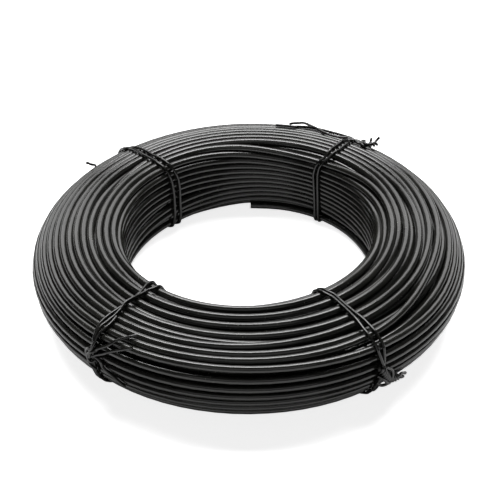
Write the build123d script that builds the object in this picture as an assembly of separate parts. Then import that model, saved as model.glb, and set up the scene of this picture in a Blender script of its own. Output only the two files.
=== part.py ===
from build123d import *
import os
from math import cos, radians, sin, tan

# Coil of plastic-coated steel binding wire. It lies flat, and four twisted ties hold its turns.
# Millimetres and degrees. The origin is on the floor at the coil's centre, +Z is up, and
# azimuths are counted from +X towards +Y.

# The wire, over its coating
wire_diameter = 3.2
turn_spacing = 3.4
groove_depth = 0.8

# The bundle of turns, measured over the crests of the turns
coil_outer_diameter = 192.0
eye_diameter = 111.4
coil_height = 37.0

# Corners of the bundle's section, before they are rounded, from the outer wall to the eye: the
# share of the way from the eye to the outer wall, and the share of half the height
section_corner_shares = [(1.0, 0.24), (0.86, 0.72), (0.42, 1.0), (0.0, 1.0)]
# Share of the shorter side beside a corner that its rounding takes
rounding_share = 0.45

# The wire's inner end: the last turn shows under the bundle and is cut square
end_azimuth = 89.0
end_sweep = 30.0
end_tuck = 2.6

# The ties, each one thin wire that goes round the bundle twice and is twisted at its ends
tie_diameter = 1.3
tie_clearance = 0.3
pigtail_diameter = 2.5

# One entry per tie: its azimuth and the distance between its two strands, then the route of
# its pigtail and of each loose end. A point of a route is the distance along the wall from the
# tie, the distance up its section from the middle of the wall and the gap to the wall.
ties = {
    "tie_front_left": {
        "azimuth": 229.0,
        "strand_distance": 3.4,
        "pigtail": [(-3.0, 5.0, 0.4), (2.0, 4.2, 0.4)],
        "tails": [
            [(1.6, 4.6, 0.9), (6.5, 10.9, 0.8), (13.4, 18.9, 0.8)],
            [(1.6, 4.3, 1.0), (7.5, 9.2, 0.8), (14.8, 12.5, 0.9)],
            [(1.6, 4.0, 0.9), (5.0, 1.5, 0.7), (10.0, -0.4, 0.8), (15.0, -1.6, 1.0)],
        ],
    },
    "tie_front_right": {
        "azimuth": 302.8,
        "strand_distance": 3.0,
        "pigtail": [(-1.5, 2.8, 0.4), (5.0, -1.6, 0.4), (11.5, -5.4, 0.6)],
        "tails": [
            [(11.2, -5.2, 0.9), (14.0, -5.8, 1.1), (16.4, -5.4, 1.6)],
            [(11.2, -5.4, 0.9), (13.0, -7.6, 1.1), (14.4, -9.0, 1.4)],
        ],
    },
    "tie_back_left": {
        "azimuth": 129.6,
        "strand_distance": 3.2,
        "pigtail": [(-2.0, 8.5, 0.4), (3.0, 7.8, 0.4)],
        "tails": [
            [(2.8, 7.8, 0.9), (8.0, 9.6, 2.2), (12.6, 11.5, 5.2)],
            [(2.8, 7.6, 0.9), (6.0, 5.0, 1.6), (8.4, 2.6, 3.4)],
        ],
    },
    "tie_back_right": {
        "azimuth": 54.8,
        "strand_distance": 3.6,
        "pigtail": [(2.0, 10.8, 0.4), (-4.0, 9.9, 0.8), (-9.5, 8.9, 2.4)],
        "tails": [
            [(-9.2, 9.0, 2.8), (-12.6, 10.1, 4.2), (-15.6, 12.2, 5.8)],
            [(-9.2, 8.8, 2.8), (-12.0, 8.1, 5.0), (-13.6, 8.5, 7.0)],
            [(1.8, 11.0, 0.8), (12.0, 17.9, 0.8), (22.0, 20.8, 0.8), (31.0, 19.0, 1.0)],
            [(1.8, 10.5, 0.8), (11.0, 11.7, 0.7), (19.0, 13.5, 0.9)],
        ],
    },
}

# Levels and radii that follow
wire_radius = wire_diameter / 2
tie_radius = tie_diameter / 2
coil_low = tie_diameter + tie_clearance
coil_high = coil_low + coil_height
coil_middle = (coil_low + coil_high) / 2
wall_radius = coil_outer_diameter / 2
eye_radius = eye_diameter / 2
strand_offset = tie_clearance + tie_radius


def rounded_side(points, out):
    """Path through points with rounded corners, moved to its right by a distance."""
    moved, radii = [], []
    for before, corner, after in zip(points, points[1:], points[2:]):
        arriving, leaving = (corner - before).normalized(), (after - corner).normalized()
        across = arriving + leaving
        rightwards = Vector(across.Y, -across.X) / (1 + arriving.dot(leaving))
        moved.append(corner + rightwards * out)
        shorter = min((corner - before).length, (after - corner).length)
        half_turn = radians(arriving.get_angle(leaving)) / 2
        radii.append(rounding_share * shorter / tan(half_turn) + out)
    start, end = points[0] + Vector(out, 0), points[-1] - Vector(out, 0)
    return start, moved, end, radii


def section_outline(out=0.0):
    """Outline of the bundle on (radius, height), moved outwards by a distance.

    It runs from the middle of the outer wall over the top, down the eye and back below."""
    width, half_height = wall_radius - eye_radius, coil_height / 2
    corners = [
        Vector(eye_radius + across * width, coil_middle + up * half_height)
        for across, up in section_corner_shares
    ]
    outer, inner = Vector(wall_radius, coil_middle), Vector(eye_radius, coil_middle)
    start, over, end, radii = rounded_side([outer, *corners, inner], out)
    under = [Vector(corner.X, 2 * coil_middle - corner.Y) for corner in over]
    upper = FilletPolyline(start, *over, end, radius=radii)
    lower = FilletPolyline(end, *reversed(under), start, radius=list(reversed(radii)))
    return Wire([*upper.edges(), *lower.edges()])


def on_outline(outline, distance):
    """Point at a distance along the outline, and the direction that leads outwards there."""
    place = distance % outline.length
    surface = outline.position_at(place, position_mode=PositionMode.LENGTH)
    along = outline.tangent_at(place, position_mode=PositionMode.LENGTH)
    return surface, Vector(along.Y, -along.X)


def wound_bundle():
    """Turned ring whose surface shows the crests of the turns and the grooves between them."""
    outline = section_outline()
    turns = round(outline.length / turn_spacing)
    step = outline.length / turns

    def crest(index):
        return on_outline(outline, index * step)[0]

    def groove(index):
        surface, outwards = on_outline(outline, (index + 0.5) * step)
        return surface - outwards * groove_depth

    arcs = [ThreePointArc(groove(i - 1), crest(i), groove(i)) for i in range(turns)]
    section = make_face(Wire(arcs))
    return revolve(Plane.XZ * section, Axis.Z)


def around(azimuth, radius, height):
    """Point at an azimuth, a radius and a height."""
    return Vector(radius * cos(radians(azimuth)), radius * sin(radians(azimuth)), height)


def inner_end():
    """Last turn: it leaves the bundle's lower eye corner and ends in a square cut."""
    tuck = wire_radius + end_tuck
    cut = around(end_azimuth, eye_radius + wire_radius, coil_low + wire_radius)
    middle = around(end_azimuth - end_sweep / 2, eye_radius + wire_radius, coil_low + wire_radius)
    tucked = around(end_azimuth - end_sweep, eye_radius + tuck, coil_low + tuck)
    path = ThreePointArc(cut, middle, tucked)
    return sweep(Plane(cut, z_dir=path % 0) * Circle(wire_radius), path)


def bent_tube(points, diameter):
    """Round wire through points, with each bend as wide as its two runs allow."""
    if len(points) == 2:
        path = Line(*points)
    else:
        radii = []
        for before, corner, after in zip(points, points[1:], points[2:]):
            shorter = min((corner - before).length, (after - corner).length)
            half_turn = radians((corner - before).get_angle(after - corner)) / 2
            radii.append(0.45 * shorter / tan(half_turn))
        path = FilletPolyline(*points, radius=radii)
    return sweep(Plane(points[0], z_dir=path % 0) * Circle(diameter / 2), path)


def strand(sideways):
    """One strand of a tie: a closed loop round the bundle's section."""
    loop = Pos(0, sideways, 0) * (Plane.XZ * section_outline(strand_offset))
    start = loop.position_at(0)
    return sweep(Plane(start, z_dir=loop.tangent_at(0)) * Circle(tie_radius), loop)


def beside(place, radius):
    """Centre of a wire of that radius at a point of a tie's route, seen from the tie."""
    along, up, gap = place
    surface, outwards = on_outline(section_outline(), up)
    centre = surface + outwards * (gap + radius)
    turn = along / centre.X
    return Vector(centre.X * cos(turn), centre.X * sin(turn), centre.Y)


def routed(route, diameter):
    """Round wire along a route on the outer wall."""
    return bent_tube([beside(place, diameter / 2) for place in route], diameter)


def tie(azimuth, strand_distance, pigtail, tails):
    """Tie round the bundle: two strands, the twisted pigtail and the loose ends."""
    pieces = [strand(-strand_distance / 2), strand(strand_distance / 2)]
    pieces.append(routed(pigtail, pigtail_diameter))
    pieces += [routed(tail, tie_diameter) for tail in tails]
    return Rot(0, 0, azimuth) * (Part() + pieces)


nodes = {"wire_coil": wound_bundle() + inner_end()}
for name, shape in ties.items():
    nodes[name] = tie(**shape)

os.makedirs("parts", exist_ok=True)
for name, shape in nodes.items():
    export_step(shape, f"parts/{name}.step")
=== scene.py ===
from functools import lru_cache
from math import cos, degrees, pi, radians, sin

import bmesh
import bpy
import numpy as np
from mathutils import Matrix, Vector, geometry


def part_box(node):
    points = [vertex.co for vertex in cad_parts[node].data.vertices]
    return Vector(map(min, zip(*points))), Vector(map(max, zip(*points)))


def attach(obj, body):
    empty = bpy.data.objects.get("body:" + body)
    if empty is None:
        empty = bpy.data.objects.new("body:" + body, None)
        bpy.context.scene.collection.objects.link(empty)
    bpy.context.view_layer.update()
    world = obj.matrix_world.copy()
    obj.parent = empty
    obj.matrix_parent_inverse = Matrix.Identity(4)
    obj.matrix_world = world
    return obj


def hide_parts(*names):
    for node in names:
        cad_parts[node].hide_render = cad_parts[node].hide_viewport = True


# Coil of plastic-coated steel binding wire with four twisted ties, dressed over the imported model.
# The frame is the model's: metres, +Z up from the floor, azimuths counted from +X towards +Y.
# The wire and the ties are worked out in millimetres, as in the part's source.

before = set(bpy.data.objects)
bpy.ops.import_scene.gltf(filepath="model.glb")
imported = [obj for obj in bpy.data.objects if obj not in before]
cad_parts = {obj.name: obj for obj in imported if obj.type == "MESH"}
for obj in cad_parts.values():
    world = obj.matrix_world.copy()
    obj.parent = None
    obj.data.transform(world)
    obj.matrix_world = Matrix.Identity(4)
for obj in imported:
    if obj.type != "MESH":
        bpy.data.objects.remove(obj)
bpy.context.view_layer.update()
millimetre = 0.001

# The wire over its coating and the thin drawn wire of the ties
wire_diameter = 3.2
tie_diameter = 1.3
tie_radius = tie_diameter / 2

# The bundle of turns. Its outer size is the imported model's, to a tenth of a millimetre: there the
# ties go round the bundle at a small clearance, and it stands on them.
tie_clearance = 0.3
coil_low = tie_diameter + tie_clearance
coil_height = round(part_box("tie_front_left")[1].z / millimetre, 1) - 2 * coil_low
coil_middle = coil_low + coil_height / 2
coil_outer_radius = round(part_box("wire_coil")[1].x / millimetre, 1)
eye_radius = 55.6
end_azimuth = 89.0

# The bundle is highest a little outside the eye. The eye lies towards the back and is a little
# oval, so the turns are tight at the back and the back right and loose at the front and the right.
crown_from_eye = 8.0
eye_shift = (0.3, 3.1)
eye_stretch = (-0.9, 2.1)

# How square the bundle's section is, as the power of its outline: 2 is round. On the outer side it
# grows towards the front: the numbers are for the back, and what the front and its square add.
eye_side_power = 4.2
outer_top_powers = (2.2, 5.0, 7.0)
outer_low_powers = (2.0, 1.5)
# Where the top of the first and of the last layer come to lie on the outline: 0 is at the crown
# and 1 at the side
eye_side_corner = 0.35
outer_side_corner = 0.8
# The front wall is widest at this height and leans inwards below it, by so much at its foot
widest_height = 28.0
undercut_depth = 5.0

# The winding: cylindrical layers from the eye outwards, one wound upwards and the next downwards,
# with so many turns in each
points_per_turn = 40
layer_turns = [9, 9, 10, 10, 10, 10, 10, 10, 9, 8, 8, 8, 7]
turn_count = sum(layer_turns)
point_count = turn_count * points_per_turn
# The last turn is cut off soon after it starts, on the outer edge at the back
cut_off_points = 37
wire_points = point_count - cut_off_points
# A turn moves over to the next one's place on a stretch of its way. The limits of that stretch's
# middle and its length are shares of the turn, counted from the azimuth of the wire's inner end.
move_middles = (0.14, 0.26)
move_length = 0.4
# Slow drift of the wire: its reach in points, its size and the seed of all that is random
drift_reach = 5
drift_size = 0.35
winding_seed = 5
# The wire's inner end lies free in the eye for so many points. The share that is free falls evenly
# between these two numbers, cut off at 1 and 0.
free_points = 13
free_start, free_end = 3.5, -0.5

# How the turns settle. In each round they are smoothed as stiff wire, at first also pulled to
# their places, and parted where they lie in each other. Neighbours are looked for every few
# rounds, within a reach in wire diameters.
settling_rounds = 400
pulled_rounds = 300
pull = 0.02
smoothing = 0.04
shortening = 0.05
parting = 0.4
rounds_per_search = 10
search_reach = 1.6
# Added to every distance between turns, so that none is 0
least_distance = 1e-6

# Layers that have slipped in the bundle: the layer, the azimuth of the middle of the slip and its
# reach in degrees, then how far the layer's top has sunk, its bottom has risen and its top turn
# has moved outwards. Layers count from 0. At the front layers 2, 4 and 6 sink between loose turns,
# the top of layer 2 and of each one outside it leans inwards, and the tops of the last two rise.
slipped_layers = [
    (1, 264, 36, 0.0, 0.0, 0.8),
    (2, 264, 36, 3.2, 0.0, -0.2),
    (3, 264, 36, 0.0, 0.0, -0.8),
    (4, 264, 36, 3.2, 0.0, -1.4),
    (5, 264, 36, 0.0, 0.0, -2.4),
    (6, 264, 36, 3.2, 0.0, -2.6),
    (7, 264, 36, 0.0, 0.0, -2.6),
    (8, 264, 36, 0.0, 0.0, -1.7),
    (9, 264, 36, 0.0, 0.0, -1.7),
    (10, 264, 36, 0.0, 0.0, -1.8),
    (11, 264, 36, -0.3, 0.0, -1.8),
    (12, 264, 36, -1.6, 0.0, -1.8),
    (6, -8, 16, 2.6, 0.0, 0.0),
    (4, 178, 20, 2.0, 0.0, 0.5),
    (8, 160, 24, 1.8, 0.0, -0.5),
]

# The photograph, in pixels
picture_size = 500
focal_length = 1342.6
principal_point = (248.7, 253.44)
# Its camera: angles in radians, the distance to the point that it looks at and that point in
# metres, and the width of Blender's sensor in millimetres
camera_elevation = 0.652
camera_roll = 0.006
camera_distance = 0.6
camera_aim = (0, 0, 0.0203)
sensor_width = 36

# Tones of the coating and of the ties' lacquer, each with its place in the noise, and dust
coating_tones = ((0.35, "#121210"), (0.7, "#1e1e1b"))
lacquer_tones = ((0.4, "#0b0b0a"), (0.75, "#181814"))
dust_colour = "#77776f"
# The colour sockets of a Mix node: its two inputs and its output
mix_first, mix_second, mix_result = 6, 7, 2

# Numbers of points: round a turn's section, along each side of the thread round the turns, between
# two places of a course and in a whole turn of a twist
section_points = 24
thread_points = 16
course_points = 6
twist_points = 14
# Degrees between the points of a tie's strand
strand_step = 3


def photo_camera():
    """Camera of the photograph: 37 degrees above the floor, 0.6 m from the coil."""
    back = Vector((0, -cos(camera_elevation), sin(camera_elevation)))
    right = Vector((1, 0, 0))
    up = back.cross(right)
    data = bpy.data.cameras.new("photo_camera")
    data.sensor_width = sensor_width
    data.lens = focal_length / picture_size * sensor_width
    data.shift_x = (picture_size / 2 - principal_point[0]) / picture_size
    data.shift_y = (principal_point[1] - picture_size / 2) / picture_size
    data.clip_start, data.clip_end = 0.02, 30
    camera = bpy.data.objects.new("photo_camera", data)
    bpy.context.scene.collection.objects.link(camera)
    across = right * cos(camera_roll) - up * sin(camera_roll)
    upright = right * sin(camera_roll) + up * cos(camera_roll)
    turned = Matrix((across, upright, back)).transposed().to_4x4()
    place = Vector(camera_aim) + back * camera_distance
    camera.matrix_world = Matrix.Translation(place) @ turned
    bpy.context.scene.camera = camera


def bundle_at(azimuth):
    """Radii of the eye, the bundle's highest line and its outer wall, and how far to the front."""
    eye = eye_radius + eye_shift[0] * np.cos(azimuth) + eye_shift[1] * np.sin(azimuth)
    eye = eye + eye_stretch[0] * np.cos(2 * azimuth) + eye_stretch[1] * np.sin(2 * azimuth)
    front = np.maximum(-np.sin(azimuth), 0) ** 3
    return eye, eye + crown_from_eye, coil_outer_radius, front


def squareness(front, inside, above):
    """How square the section is: 2 is round. It is squarest at the front's outer edge."""
    at_back, by_front, by_square = outer_top_powers
    top = at_back + by_front * front + by_square * front**2
    low = outer_low_powers[0] + outer_low_powers[1] * front
    return np.where(inside, eye_side_power, np.where(above, top, low))


def undercut(front, height):
    """How far the front wall leans inwards below its widest line."""
    below = np.clip((widest_height - height) / (widest_height - coil_low), 0, 1)
    return undercut_depth * front**2 * below


def placed(across, up, azimuth):
    """Radius and height of a turn from its layer's share of the width and its own share, from -1
    at the bottom to 1 at the top, of the layer's height."""
    eye, crown, outer, front = bundle_at(azimuth)
    inner_reach = crown - eye - wire_diameter / 2
    outer_reach = outer - crown - wire_diameter / 2
    away = across * (inner_reach + outer_reach) - inner_reach
    inside = away < 0
    side = np.abs(away) / np.where(inside, inner_reach, outer_reach)
    power = squareness(front, inside, up > 0)
    corner = np.where(inside, eye_side_corner, outer_side_corner)
    outwards = side * (1 - (1 - corner) * np.abs(up) ** power) ** (1 / power)
    upwards = up * (1 - corner * side**power) ** (1 / power)
    height = coil_middle + upwards * (coil_height - wire_diameter) / 2
    reach = np.where(inside, -inner_reach, outer_reach - undercut(front, height))
    return crown + outwards * reach, height


def slips(azimuths):
    """How far the top of every layer has sunk, its bottom has risen and its top turn has moved
    outwards, at every azimuth."""
    moved = np.zeros((3, len(layer_turns), len(azimuths)))
    for layer, middle, reach, *distances in slipped_layers:
        gone = (np.degrees(azimuths) - middle + 180) % 360 - 180
        share = np.exp(-((gone / reach) ** 4))
        moved[:, layer] += np.outer(distances, share)
    return moved


def wanted_places(azimuths, random):
    """Place of every point in the layers. A turn moves over to the next one's place on the first
    part of its way round and keeps that place on the rest."""
    layers = np.repeat(np.arange(len(layer_turns)), layer_turns)
    ups = [np.linspace(-1, 1, turns) for turns in layer_turns]
    ups = np.concatenate([up if layer % 2 == 0 else -up for layer, up in enumerate(ups)])
    station = np.arange(points_per_turn) / points_per_turn
    middles = random.uniform(*move_middles, turn_count)[:, None]
    share = np.clip((station[None] - middles) / move_length + 0.5, 0, 1)
    share = share**2 * (3 - 2 * share)
    round_azimuths = azimuths.reshape(turn_count, points_per_turn)
    sunk, risen, outwards = slips(azimuths[:points_per_turn])
    after = np.minimum(np.arange(turn_count) + 1, turn_count - 1)
    place = 0
    for turn, weight in ((np.arange(turn_count), 1 - share), (after, share)):
        across = (layers[turn] / (len(layer_turns) - 1))[:, None]
        up = ups[turn][:, None]
        radius, height = placed(across, up, round_azimuths)
        height += (risen[layers[turn]] * (1 - up) - sunk[layers[turn]] * (1 + up)) / 2
        radius += outwards[layers[turn]] * np.maximum(up, 0) ** 3
        place = place + np.stack([radius, height], 2) * weight[..., None]
    return place.reshape(point_count, 2)


def wander(random, reach, size):
    """Slow sideways drift along the wire, by its reach in points and its size."""
    raw = random.standard_normal((point_count + 8 * reach, 2))
    bell = np.exp(-0.5 * (np.arange(-3 * reach, 3 * reach + 1) / reach) ** 2)
    bell /= np.sqrt((bell**2).sum())
    slow = [np.convolve(raw[:, axis], bell, mode="same") for axis in (0, 1)]
    return size * np.stack(slow, 1)[4 * reach : 4 * reach + point_count]


def neighbours(points, reach):
    """Pairs of turns nearer to each other than reach, at every station round the coil."""
    stations = points.reshape(turn_count, points_per_turn, 2)
    found = []
    for station in range(points_per_turn):
        apart = stations[:, None, station] - stations[None, :, station]
        close = np.triu((apart**2).sum(-1) < reach**2, 1)
        one, other = np.nonzero(close)
        rows = [one * points_per_turn + station, other * points_per_turn + station]
        found.append(np.stack(rows))
    pairs = np.concatenate(found, 1)
    return pairs[:, (pairs < wire_points).all(0)]


def stiffened(points):
    """Points of the wire after a step towards a smooth line, as a stiff wire lies."""
    bend = np.zeros_like(points)
    bend[1:-1] = points[:-2] - 2 * points[1:-1] + points[2:]
    change = np.zeros_like(points)
    change[1:-1] = bend[:-2] - 2 * bend[1:-1] + bend[2:]
    return points - smoothing * change + shortening * bend


def parted(points, pairs):
    """Points after turns that lie in each other have moved apart."""
    one, other = pairs
    apart = points[one] - points[other]
    distance = np.sqrt((apart**2).sum(1)) + least_distance
    push = apart * (np.maximum(wire_diameter - distance, 0) / distance * parting)[:, None]
    moved = points.copy()
    for axis in (0, 1):
        moved[:, axis] += np.bincount(one, push[:, axis], point_count)
        moved[:, axis] -= np.bincount(other, push[:, axis], point_count)
    return moved


def kept_in(points, azimuths):
    """Points brought back into the bundle's section where they have left it."""
    eye, crown, outer, front = bundle_at(azimuths)
    centre = np.stack([crown, np.full(point_count, coil_middle)], 1)
    away = points - centre
    inside = away[:, 0] < 0
    outer = outer - undercut(front, points[:, 1])
    reach = np.where(inside, crown - eye, outer - crown) - wire_diameter / 2
    power = squareness(front, inside, away[:, 1] > 0)
    rise = coil_height / 2 - wire_diameter / 2
    size = (np.abs(away[:, 0]) / reach) ** power + (np.abs(away[:, 1]) / rise) ** power
    back = np.where(size > 1, size ** (-1 / power), 1.0)
    return centre + away * back[:, None]


def wound_points():
    """Radius and height of the wire at every point, from its inner end to its outer end."""
    random = np.random.default_rng(winding_seed)
    azimuths = radians(end_azimuth) - 2 * pi * np.arange(point_count) / points_per_turn
    wanted = wanted_places(azimuths, random)
    points = wanted + wander(random, drift_reach, drift_size)
    # The inner end lies in the eye's lower corner before it tucks in under the other turns
    free = np.clip(np.linspace(free_start, free_end, free_points), 0, 1)[:, None]
    eye = bundle_at(azimuths[:free_points])[0]
    cornered = np.stack([eye, np.full(free_points, coil_low)], 1) + wire_diameter / 2
    for settling_round in range(settling_rounds):
        if settling_round % rounds_per_search == 0:
            pairs = neighbours(points, wire_diameter * search_reach)
        points = stiffened(points)
        if settling_round < pulled_rounds:
            points += pull * (wanted - points)
        points = parted(parted(points, pairs), pairs)
        points = kept_in(points, azimuths)
        points[:free_points] += (cornered - points[:free_points]) * free
    return azimuths[:wire_points], points[:wire_points]


def nurbs(curve, points, cyclic=False):
    """Adds a smooth spline, in metres, along points in millimetres to a curve."""
    spline = curve.splines.new("NURBS")
    spline.points.add(len(points) - 1)
    for point, place in zip(spline.points, points):
        point.co = (*(millimetre * value for value in place), 1)
    spline.order_u = 3
    spline.use_endpoint_u = not cyclic
    spline.use_cyclic_u = cyclic
    spline.use_smooth = True


def wire_object(name, diameter, material, around, along):
    """Empty round-wire curve object with capped ends, by its resolution around and along it."""
    curve = bpy.data.curves.new(name, "CURVE")
    curve.dimensions = "3D"
    curve.bevel_depth = diameter / 2 * millimetre
    curve.bevel_resolution = around
    curve.resolution_u = along
    curve.use_fill_caps = True
    curve.materials.append(material)
    piece = bpy.data.objects.new(name, curve)
    bpy.context.scene.collection.objects.link(piece)
    return piece


def linear(hex_colour):
    """Linear colour of an sRGB hex value."""
    values = [int(hex_colour[i : i + 2], 16) / 255 for i in (1, 3, 5)]
    return [v / 12.92 if v <= 0.04045 else ((v + 0.055) / 1.055) ** 2.4 for v in values] + [1]


def node(tree, kind, sockets=None, **settings):
    """Adds a node with its settings; sockets gives each input a value or a link."""
    added = tree.nodes.new(kind)
    for name, value in settings.items():
        setattr(added, name, value)
    for name, value in (sockets or {}).items():
        if isinstance(value, bpy.types.NodeSocket):
            tree.links.new(value, added.inputs[name])
        else:
            added.inputs[name].default_value = value
    return added


def new_material(name):
    """Material without nodes, and its node tree."""
    material = bpy.data.materials.new(name)
    material.use_nodes = True
    material.node_tree.nodes.clear()
    return material, material.node_tree


def extruded_coating():
    """Polyethylene coating extruded over steel wire: even charcoal with a satin shine."""
    material, tree = new_material("extruded_coating")
    place = node(tree, "ShaderNodeTexCoord").outputs["Object"]
    # Spacing of its patterns in millimetres: clouds in the colour, specks of dust of a third of a
    # millimetre, stretches that have gathered more of them, changes of gloss, fine unevenness
    patterns = []
    for spacing in (14.29, 2 / 3, 22.22, 6.25, 1.111):
        sockets = {"Vector": place, "Scale": 1 / (spacing * millimetre), "Detail": 3.0}
        patterns.append(node(tree, "ShaderNodeTexNoise", sockets).outputs["Fac"])
    clouds, specks, stretches, shine, unevenness = patterns
    tone = node(tree, "ShaderNodeValToRGB", {"Fac": clouds})
    for element, (position, colour) in zip(tone.color_ramp.elements, coating_tones):
        element.position = position
        element.color = linear(colour)
    grains = node(tree, "ShaderNodeMapRange", {"Value": specks, "From Min": 0.67, "From Max": 0.72})
    dusty = node(
        tree,
        "ShaderNodeMapRange",
        {"Value": stretches, "From Min": 0.5, "From Max": 0.64, "To Max": 0.7},
    )
    factors = {0: grains.outputs["Result"], 1: dusty.outputs["Result"]}
    dust = node(tree, "ShaderNodeMath", factors, operation="MULTIPLY").outputs[0]
    dusted = node(
        tree,
        "ShaderNodeMix",
        {"Factor": dust, mix_first: tone.outputs["Color"], mix_second: linear(dust_colour)},
        data_type="RGBA",
    )
    gloss = node(
        tree,
        "ShaderNodeMapRange",
        {"Value": shine, "From Min": 0.3, "From Max": 0.7, "To Min": 0.14, "To Max": 0.24},
    )
    duller = {0: gloss.outputs["Result"], 1: dust}
    roughness = node(tree, "ShaderNodeMath", duller, operation="MAXIMUM").outputs[0]
    bump = node(
        tree, "ShaderNodeBump", {"Height": unevenness, "Strength": 0.07, "Distance": 0.0002}
    )
    shader = node(
        tree,
        "ShaderNodeBsdfPrincipled",
        {
            "Base Color": dusted.outputs[mix_result],
            "Roughness": roughness,
            "Normal": bump.outputs["Normal"],
            "IOR": 1.52,
        },
    )
    node(tree, "ShaderNodeOutputMaterial", {"Surface": shader.outputs["BSDF"]})
    return material


def black_tie_wire():
    """Soft steel wire with a thin black lacquer: near black, with fine bright glints."""
    material, tree = new_material("black_tie_wire")
    place = node(tree, "ShaderNodeTexCoord").outputs["Object"]
    # Scuffs of the lacquer, 2.5 mm apart
    sockets = {"Vector": place, "Scale": 1 / (2.5 * millimetre), "Detail": 3.0}
    scuffs = node(tree, "ShaderNodeTexNoise", sockets).outputs["Fac"]
    tone = node(tree, "ShaderNodeValToRGB", {"Fac": scuffs})
    for element, (position, colour) in zip(tone.color_ramp.elements, lacquer_tones):
        element.position = position
        element.color = linear(colour)
    gloss = node(
        tree,
        "ShaderNodeMapRange",
        {"Value": scuffs, "From Min": 0.3, "From Max": 0.7, "To Min": 0.12, "To Max": 0.26},
    )
    shader = node(
        tree,
        "ShaderNodeBsdfPrincipled",
        {
            "Base Color": tone.outputs["Color"],
            "Roughness": gloss.outputs["Result"],
            "IOR": 1.5,
        },
    )
    node(tree, "ShaderNodeOutputMaterial", {"Surface": shader.outputs["BSDF"]})
    return material


photo_camera()

coating = extruded_coating()
lacquer = black_tie_wire()

azimuths, turns = wound_points()
# The spline passes a control point at three quarters of it and an eighth of each neighbour, inside
# the turn, so the control points stand a little further out
stand_out = 1 / (0.75 + 0.25 * cos(2 * pi / points_per_turn))
coil_line = [
    (radius * stand_out * cos(azimuth), radius * stand_out * sin(azimuth), height)
    for azimuth, (radius, height) in zip(azimuths, turns)
]
coil = wire_object("binding_wire", wire_diameter, coating, around=3, along=2)
nurbs(coil.data, coil_line)
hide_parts("wire_coil")
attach(coil, "root")


@lru_cache(maxsize=None)
def taut_thread(degree):
    """Taut thread round the coil's section at a whole degree of azimuth: radius, height and the
    direction away from the turns, at every degree of the angle over the section."""
    places = (np.arange(turn_count) + (end_azimuth - degree) / 360 % 1) * points_per_turn
    centres = [np.interp(places, np.arange(wire_points), turns[:, axis]) for axis in (0, 1)]
    sides = np.arange(section_points) * 2 * pi / section_points
    circle = wire_diameter / 2 * np.stack([np.cos(sides), np.sin(sides)], 1)
    dots = (np.stack(centres, 1)[:, None] + circle).reshape(-1, 2)
    ring = dots[geometry.convex_hull_2d([Vector(dot) for dot in dots])]
    steps = np.linspace(0, 1, thread_points, endpoint=False)[None, :, None]
    onwards = np.roll(ring, -1, 0) - ring
    line = (ring[:, None] + onwards[:, None] * steps).reshape(-1, 2)
    onwards = np.repeat(onwards, thread_points, 0)
    outwards = np.stack([onwards[:, 1], -onwards[:, 0]], 1)
    outwards /= np.sqrt((outwards**2).sum(1))[:, None]
    away = line - ((bundle_at(radians(degree))[0] + coil_outer_radius) / 2, coil_middle)
    outwards *= np.sign((away * outwards).sum())
    angles = np.degrees(np.arctan2(away[:, 1], away[:, 0]))
    values = np.concatenate([line, outwards], 1)
    table = [np.interp(np.arange(360), angles, column, period=360) for column in values.T]
    return np.stack(table, 1)


def thread_at(azimuth, angle):
    """Taut thread's radius, height and direction away from the turns at any azimuth and angle."""
    degree, step = int(azimuth // 1), int(angle // 1)
    found = 0
    for near, weight in ((degree, 1 - azimuth % 1), (degree + 1, azimuth % 1)):
        table = taut_thread(near)
        there = table[step % 360] * (1 - angle % 1) + table[(step + 1) % 360] * (angle % 1)
        found = found + weight * there
    return found


def over_coil(azimuth, place):
    """Point in space of a place by a tie: the angle over the section, from the outer wall over the
    top, the distance along the coil from the tie and the height of a tie wire's underside above
    the turns."""
    angle, along, gap = place
    turned = azimuth + degrees(along / thread_at(azimuth, angle)[0])
    radius, height, outwards, upwards = thread_at(turned, angle)
    radius += (gap + tie_radius) * outwards
    height += (gap + tie_radius) * upwards
    return Vector((radius * cos(radians(turned)), radius * sin(radians(turned)), height))


def eased(course):
    """Places of a smooth course through the given places."""
    rows = np.array([course[0], *course, course[-1]], float)
    line = []
    for before, start, end, after in zip(rows, rows[1:], rows[2:], rows[3:]):
        for share in np.arange(course_points) / course_points:
            straight = 2 * start + (end - before) * share
            bend = (2 * before - 5 * start + 4 * end - after) * share**2
            turn = (3 * start - before - 3 * end + after) * share**3
            line.append((straight + bend + turn) / 2)
    return [*line, rows[-1]]


def read_line(points, step):
    """Points at even steps of the smooth spline along points, in millimetres."""
    curve = bpy.data.curves.new("course", "CURVE")
    curve.dimensions = "3D"
    curve.resolution_u = 6
    nurbs(curve, points)
    course = bpy.data.objects.new("course", curve)
    mesh = bpy.data.meshes.new_from_object(course)
    line = np.array([vertex.co for vertex in mesh.vertices]) / millimetre
    bpy.data.objects.remove(course)
    bpy.data.curves.remove(curve)
    bpy.data.meshes.remove(mesh)
    gone = np.concatenate([[0], np.cumsum(np.sqrt((np.diff(line, axis=0) ** 2).sum(1)))])
    even = np.arange(0, gone[-1], step)
    return np.stack([np.interp(even, gone, line[:, axis]) for axis in range(3)], 1)


def twisted(points, wires, reach, pitch):
    """Lines of wires that are twisted about a course: reach is their distance from it and pitch
    the length of a whole turn."""
    step = pitch / twist_points
    middle = [Vector(point) for point in read_line(points, step)]
    onwards = [(b - a).normalized() for a, b in zip(middle, middle[1:])]
    onwards.append(onwards[-1])
    side = onwards[0].orthogonal().normalized()
    lines = [[] for _ in range(wires)]
    for index, (point, ahead) in enumerate(zip(middle, onwards)):
        side = (side - ahead * side.dot(ahead)).normalized()
        other = ahead.cross(side)
        for wire, line in enumerate(lines):
            turn = 2 * pi * (index * step / pitch + wire / wires)
            line.append(point + reach * (side * cos(turn) + other * sin(turn)))
    return lines


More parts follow.
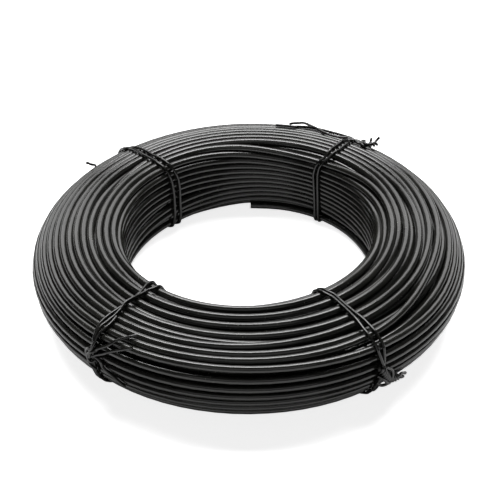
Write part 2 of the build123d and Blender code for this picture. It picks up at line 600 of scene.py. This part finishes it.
def strand_line(azimuth, course):
    """Closed line of a strand round the bundle, from places at some angles over the section."""
    angles, alongs, gaps = np.array(sorted(course)).T
    line = []
    for angle in range(0, 360, strand_step):
        along = np.interp(angle, angles, alongs, period=360)
        gap = np.interp(angle, angles, gaps, period=360)
        line.append(over_coil(azimuth, (angle, along, gap)))
    return line


# The ties. Each one goes round the bundle twice, and its ends are twisted, knotted or loose. A
# place is an angle over the section, a distance along the coil and a gap, as in over_coil. A twist
# is its course, the number of its wires, their distance from it and the length of a whole turn.
ties = {
    "tie_front_left": {
        "azimuth": 229.0,
        "strands": [
            [
                (26, 0.4, 0), (35, 0.0, 0), (44, -1.2, 0), (53, -1.5, 0), (71, -0.7, 0),
                (88, 0.1, 0), (99, 0.3, 0), (115, -0.3, 0), (127, -2.1, 0), (150, -2.2, 0),
                (200, -1.6, 0), (270, -1.2, 0), (325, -0.9, 0), (338, -0.8, 0), (355, -0.7, 0),
                (10, 0.0, 0),
            ],
            [
                (21, 1.4, 0.9), (34, 0.6, 1.2), (45, 0.4, 0.8), (55, 0.8, 0.2), (66, 1.1, 0),
                (79, 1.0, 0.6), (88, 0.3, 1.3), (101, 0.6, 0.9), (112, 0.8, 0.2), (123, 1.0, 0),
                (131, 2.2, 0), (160, 2.0, 0), (270, 1.6, 0), (325, 1.4, 0), (338, 1.1, 0),
                (355, 0.9, 0.4), (10, 1.3, 0.6),
            ],
        ],
        "twists": [],
        "ends": [
            [
                (66, 2.3, 0.1), (53, 2.6, 0), (40, 1.6, 0.5), (30, 1.6, 1.6), (20, 0.6, 1.7),
                (8, -0.4, 1.3),
            ],
            [
                (27, 1.6, 0.4), (25, 0.2, 1.9), (21, -1.7, 1.3), (15, -2.9, 0.6), (9, -2.6, 0.4),
                (5, -0.8, 1.3), (1, 0.8, 1.6), (-5, 1.8, 0.6),
            ],
            [
                (24, 3.0, 0.4), (22, 1.6, 1.9), (17, -0.4, 1.9), (12, -0.6, 1.7), (9, 1.2, 1.9),
                (12, 2.6, 0.8),
            ],
            [(20, 0.4, 1.5), (25, 2.9, 0.7), (34, 7.4, 0.5), (44, 11.4, 0.3), (54, 16.2, 0.5)],
            [
                (14, 0.8, 1.4), (18, 2.7, 0.7), (25, 6.9, 0.3), (31, 10.3, 0.2), (38, 15.2, 0.3),
                (41, 18.6, 0.6),
            ],
            [
                (16, 1.0, 1.3), (15, 2.5, 0.7), (12, 4.6, 0.3), (4, 5.9, 0.3), (-2, 9.6, 0.2),
                (-13, 15.7, 0.4),
            ],
        ],
    },
    "tie_front_right": {
        "azimuth": 302.8,
        "strands": [
            [
                (6, 1.3, 0), (16, 1.7, 0), (25, 1.8, 0), (36, 2.2, 0), (44, 2.0, 0), (54, 1.9, 0),
                (61, 1.7, 0), (80, 1.0, 0), (101, 0.7, 0), (121, 0.7, 0), (131, -0.9, 0),
                (145, -1.2, 0), (180, 0.2, 0), (270, 1.2, 0), (325, 0.9, 0.2), (333, 0.5, 0.4),
                (345, 0.5, 0.3),
            ],
            [
                (4, 0.6, 1.1), (14, 0.7, 1.2), (21, 0.0, 0.5), (31, -0.8, 0), (42, -1.2, 0),
                (52, -1.5, 0), (72, -1.0, 0), (96, -0.7, 0), (118, -0.8, 0), (131, -2.5, 0),
                (145, -3.0, 0), (180, -2.2, 0), (270, -1.8, 0), (325, -2.0, 0.2),
                (333, -1.7, 0.4), (345, -1.0, 0.4),
            ],
        ],
        "twists": [
            (
                [(14, -0.6, 1.2), (8, 0.6, 1.4), (-4, 3.2, 1.4), (-10, 6.0, 1.4), (-12, 9.2, 1.3)],
                4, 1.15, 6.5,
            ),
        ],
        "ends": [
            [
                (-12, 8.0, 1.8), (-11, 10.1, 1.5), (-14, 12.2, 1.0), (-20, 15.0, 1.0),
                (-25, 16.6, 1.0),
            ],
            [(-13, 8.0, 0.8), (-17, 11.3, 1.0), (-23, 13.0, 1.4), (-26, 15.0, 1.7)],
            [
                (12, 1.8, 1.2), (5, 4.8, 1.5), (-5, 5.2, 2.1), (-10, 3.0, 2.5), (-12, 0.6, 1.7),
                (-8, -1.2, 0.6),
            ],
            [(4, -1.6, 0.8), (-1, 0.6, 2.3), (-8, 2.4, 2.7), (-13, 4.8, 2.0), (-14, 7.2, 1.2)],
        ],
    },
    "tie_back_left": {
        "azimuth": 129.6,
        "strands": [
            [
                (0, 3.0, 0), (30, 3.6, 0), (46, 3.9, 0), (53, 3.2, 0), (60, 1.7, 0), (69, 1.1, 0),
                (114, 1.2, 0), (133, -0.5, 0), (142, -2.2, 0), (153, -3.7, 0), (169, -4.1, 0),
                (195, -3.9, 0), (222, -4.4, 0), (270, -3.0, 0), (330, 2.0, 0),
            ],
            [
                (0, 0.6, 0), (46, 2.3, 0), (75, 3.4, 0), (101, 4.4, 0), (130, 3.4, 0),
                (141, 1.5, 0), (153, 0.2, 0), (175, -0.5, 0), (209, -0.5, 0), (270, 0, 0),
                (330, 0, 0),
            ],
        ],
        "twists": [([(-30, -2.4, 0.4), (-22, 1.6, 0.4), (-14, 7.0, 0.5)], 2, 0.65, 4.5)],
        "ends": [
            [
                (-14, 6.4, 0.4), (-6, 12.0, 0.2), (10, 16.0, 0.2), (26, 19.0, 0.2), (33, 21.6, 0.6),
                (36, 23.6, 1.6), (38, 25.4, 2.7),
            ],
            [(-16, 6.0, 0.6), (-22, 9.0, 0.8), (-28, 11.0, 1.2)],
        ],
    },
    "tie_back_right": {
        "azimuth": 54.8,
        "strands": [
            [
                (0, 1.8, 0), (40, 1.8, 0), (77, 0.6, 0), (110, 0.0, 0), (131, 0.6, 0),
                (144, 3.7, 0), (155, 4.5, 0), (189, 3.7, 0), (226, 2.9, 0), (270, 2.4, 0),
                (320, 1.8, 0),
            ],
            [
                (0, -1.8, 0), (40, -1.8, 0), (81, -2.5, 0), (114, -3.3, 0), (132, -1.1, 0),
                (143, 1.6, 0), (154, 2.2, 0), (187, 1.8, 0), (226, 1.1, 0), (270, 0.4, 0),
                (320, -1.0, 0),
            ],
        ],
        "twists": [
            (
                [
                    (52, -5.5, 0.4), (67, -7.0, 0.5), (75, -9.2, 0.6), (66, -11.4, 0.9),
                    (49, -11.8, 1.8),
                ],
                2, 0.67, 6.0,
            ),
        ],
        "ends": [
            [(84, -1.6, 0.4), (79, -2.8, 0.6), (74, -4.4, 0.7), (78, -6.6, 0.4), (68, -8.4, 0.4)],
            [(56, -9.4, 1.4), (48, -8.2, 1.6), (47, -7.9, 2.4), (48, -8.0, 3.4)],
            [(54, -11.4, 2.0), (48, -10.9, 3.4), (49, -11.8, 5.2)],
            [
                (74, 0.4, 0.8), (82, 4.0, 0.3), (80, 11.6, 0.1), (62, 20.0, 0.5), (57, 25.8, 1.6),
                (57, 28.8, 1.2), (67, 31.6, 0.5),
            ],
            [
                (60, 0.8, 0.2), (52, 7.0, 0), (50, 15.0, 0), (60, 21.0, 0), (68, 24.0, 0.1),
                (78, 27.6, 0.1), (79, 31.4, 0.1), (80, 36.4, 0.1),
            ],
        ],
    },
}
for name, tie in ties.items():
    piece = wire_object(name + "_wire", tie_diameter, lacquer, around=2, along=3)
    azimuth = tie["azimuth"]
    for course in tie["strands"]:
        nurbs(piece.data, strand_line(azimuth, course), cyclic=True)
    for course, wires, reach, pitch in tie["twists"]:
        middle = [over_coil(azimuth, place) for place in eased(course)]
        for line in twisted(middle, wires, reach, pitch):
            nurbs(piece.data, line)
    for course in tie["ends"]:
        nurbs(piece.data, [over_coil(azimuth, place) for place in eased(course)])
    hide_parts(name)
    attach(piece, "root")


def studio_floor():
    """Plain pale floor that the camera sees as white, with the coil's shadow kept."""
    shape = bmesh.new()
    bmesh.ops.create_grid(shape, x_segments=1, y_segments=1, size=6)
    mesh = bpy.data.meshes.new("studio_floor")
    shape.to_mesh(mesh)
    shape.free()
    floor = bpy.data.objects.new("studio_floor", mesh)
    bpy.context.scene.collection.objects.link(floor)
    material, tree = new_material("matt_white_paper")
    rays = node(tree, "ShaderNodeLightPath")
    matt = node(tree, "ShaderNodeBsdfDiffuse", {"Color": linear("#e6e6e6")}).outputs[0]
    glow = node(tree, "ShaderNodeEmission", {"Strength": 0.8}).outputs[0]
    white = node(tree, "ShaderNodeAddShader", {0: matt, 1: glow}).outputs[0]
    seen = {"Fac": rays.outputs["Is Camera Ray"], 1: matt, 2: white}
    mixed = node(tree, "ShaderNodeMixShader", seen)
    node(tree, "ShaderNodeOutputMaterial", {"Surface": mixed.outputs[0]})
    floor.data.materials.append(material)


def softbox(name, place, aim, size, radiance):
    """Rectangular soft light; radiance 1 looks white."""
    data = bpy.data.lights.new(name, "AREA")
    data.shape = "RECTANGLE"
    data.size, data.size_y = size
    data.energy = radiance * pi * size[0] * size[1]
    lamp = bpy.data.objects.new(name, data)
    bpy.context.scene.collection.objects.link(lamp)
    lamp.location = place
    lamp.rotation_euler = (Vector(aim) - Vector(place)).to_track_quat("-Z", "Y").to_euler()


def studio_world():
    """Even white surroundings, which the camera sees as pure white."""
    world = bpy.data.worlds.new("studio_world")
    bpy.context.scene.world = world
    world.use_nodes = True
    tree = world.node_tree
    tree.nodes.clear()
    rays = node(tree, "ShaderNodeLightPath")
    strength = node(
        tree,
        "ShaderNodeMapRange",
        {"Value": rays.outputs["Is Camera Ray"], "To Min": 0.06, "To Max": 1.0},
    )
    light = node(tree, "ShaderNodeBackground", {"Strength": strength.outputs["Result"]})
    node(tree, "ShaderNodeOutputWorld", {"Surface": light.outputs[0]})


studio_floor()
studio_world()
centre = (0, 0, 0.02)
softbox("top_softbox", (0, 0.42, 1.2), centre, (1.2, 0.55), 14.0)
softbox("back_softbox", (0, 1.2, 0.86), centre, (2.1, 0.66), 2.9)
softbox("front_softbox", (0, -1.3, 0.8), centre, (1.6, 0.8), 0.55)
bpy.context.scene.view_settings.view_transform = "Standard"
